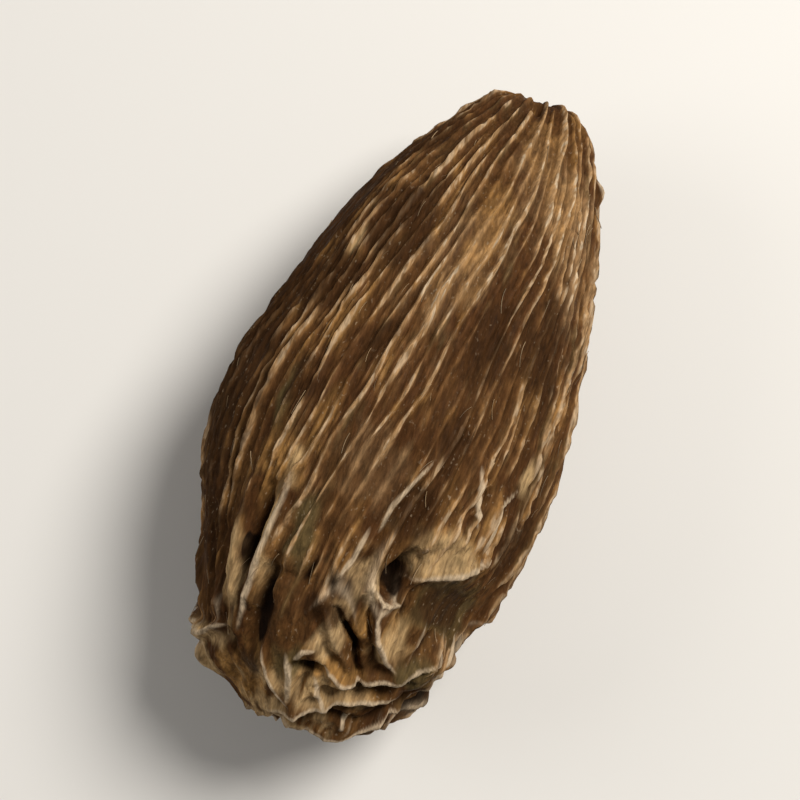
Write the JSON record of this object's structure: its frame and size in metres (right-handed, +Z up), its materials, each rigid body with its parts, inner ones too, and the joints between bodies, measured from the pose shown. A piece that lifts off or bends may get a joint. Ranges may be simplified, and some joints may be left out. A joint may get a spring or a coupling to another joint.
{
  "type": "black cardamom pod",
  "caption": "Whole dried black cardamom pod lying on its side: a long ribbed husk, notched at the stalk end and crumpled at the crown end.",
  "frame": {"origin": "on the surface that the pod lies on, under the middle of its bounding box", "axes": "+X along the pod towards its stalk end, +Z up from the surface, +Y across the pod"},
  "size_m": [0.0358, 0.0188, 0.016],
  "materials": {
    "dried_husk": "dry, fibrous and matt, with worn pale ribs"
  },
  "bodies": {
    "root": {"pod": "dried_husk"}
  },
  "joints": []
}
